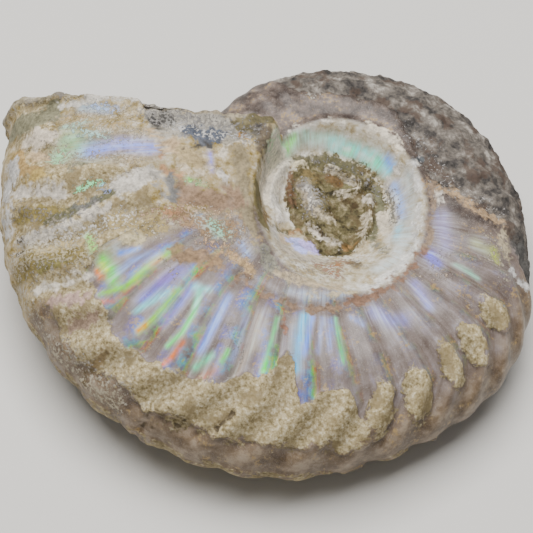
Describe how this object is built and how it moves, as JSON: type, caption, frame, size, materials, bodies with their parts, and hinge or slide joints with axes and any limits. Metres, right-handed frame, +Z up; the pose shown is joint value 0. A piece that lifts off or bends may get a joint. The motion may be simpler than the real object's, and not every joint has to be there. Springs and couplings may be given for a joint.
{
  "type": "cleoniceras ammonite fossil",
  "caption": "Coiled ammonite fossil lying on its side, ribbed mother-of-pearl shell under scraps of beige crust, broken mouth filled with rock, open umbilicus.",
  "frame": {"origin": "centre of the bounding box at the surface the fossil lies on", "axes": "+Z up, nearly along the coil axis; the broken mouth is at the -X end and faces +Y; -Y is the side nearest the viewer of the picture"},
  "size_m": [0.0696, 0.0594, 0.0238],
  "materials": {
    "pearl_and_crust": "worn mother-of-pearl with an iridescent satin gloss, under matt beige crust and grey rock"
  },
  "bodies": {
    "root": {"ammonite": "pearl_and_crust"}
  },
  "joints": []
}
